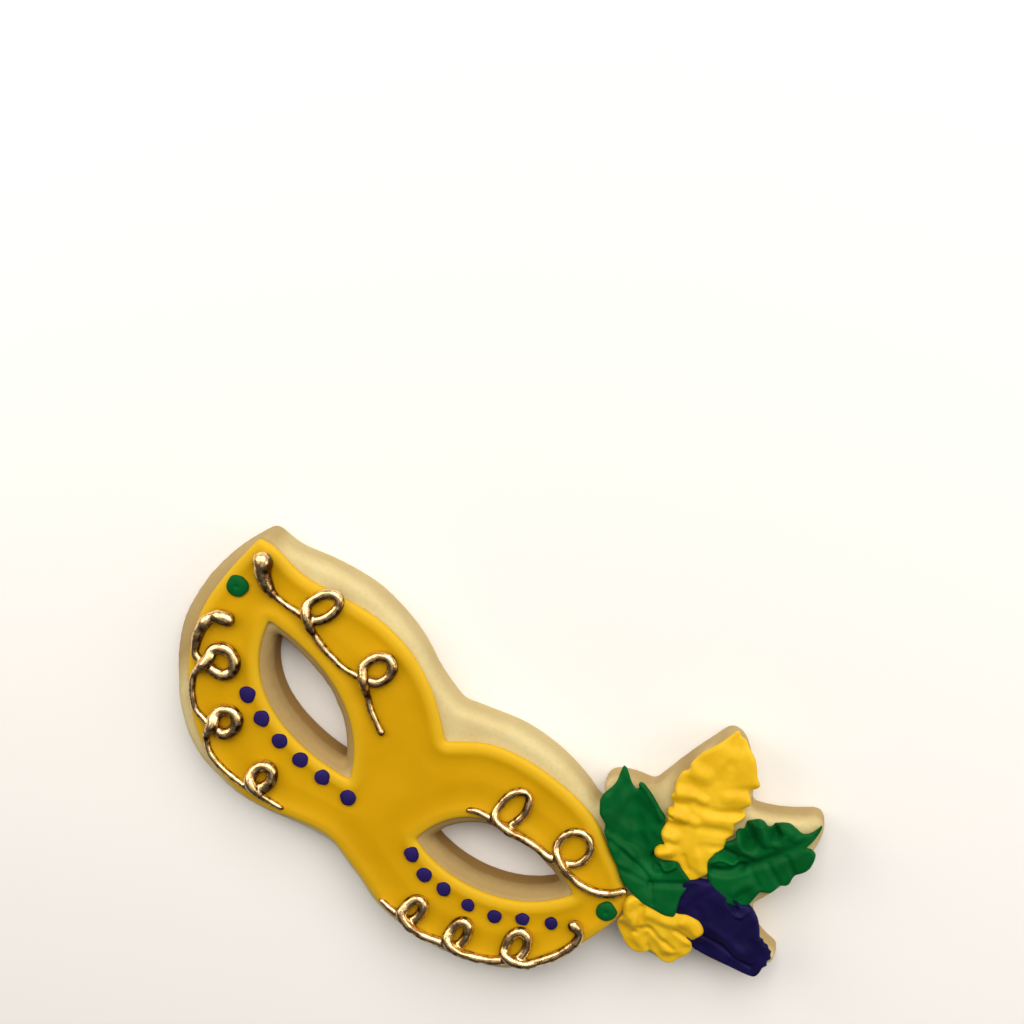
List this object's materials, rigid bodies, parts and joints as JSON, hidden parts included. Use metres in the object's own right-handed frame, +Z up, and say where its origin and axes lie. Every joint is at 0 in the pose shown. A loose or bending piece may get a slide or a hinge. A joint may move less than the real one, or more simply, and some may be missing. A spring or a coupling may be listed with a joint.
{
  "type": "iced masquerade mask cookie",
  "caption": "Rolled cookie in the shape of a masquerade mask with a feather plume, flooded with yellow icing, with gold scrolls, dots and piped leaves.",
  "frame": {"origin": "centre of the bounding box at the cookie's flat underside", "axes": "+Z up from the underside through the icing, +X along the two eye holes towards the plume, +Y from the cheeks towards the brow"},
  "size_m": [0.1216, 0.0724, 0.0111],
  "materials": {
    "biscuit": "pale baked cookie dough, dry and matte, browned a little at the edge",
    "yellow_icing": "dried flood icing, satin",
    "violet_icing": "dried piped icing, satin",
    "green_icing": "dried piped icing, satin",
    "leaf_icing": "stiff piped yellow icing, satin",
    "gold_paint": "edible gold paint brushed on piped icing, streaky and shiny"
  },
  "bodies": {
    "root": {"cookie": "biscuit", "icing": "yellow_icing", "gold_scroll_brow_left": "gold_paint", "gold_scroll_cheek_left": "gold_paint", "gold_scroll_brow_right": "gold_paint", "gold_scroll_cheek_right": "gold_paint", "leaf_green_left": "green_icing", "leaf_yellow_top": "leaf_icing", "leaf_green_right": "green_icing", "leaf_violet": "violet_icing", "leaf_yellow_low": "leaf_icing"}
  },
  "joints": []
}
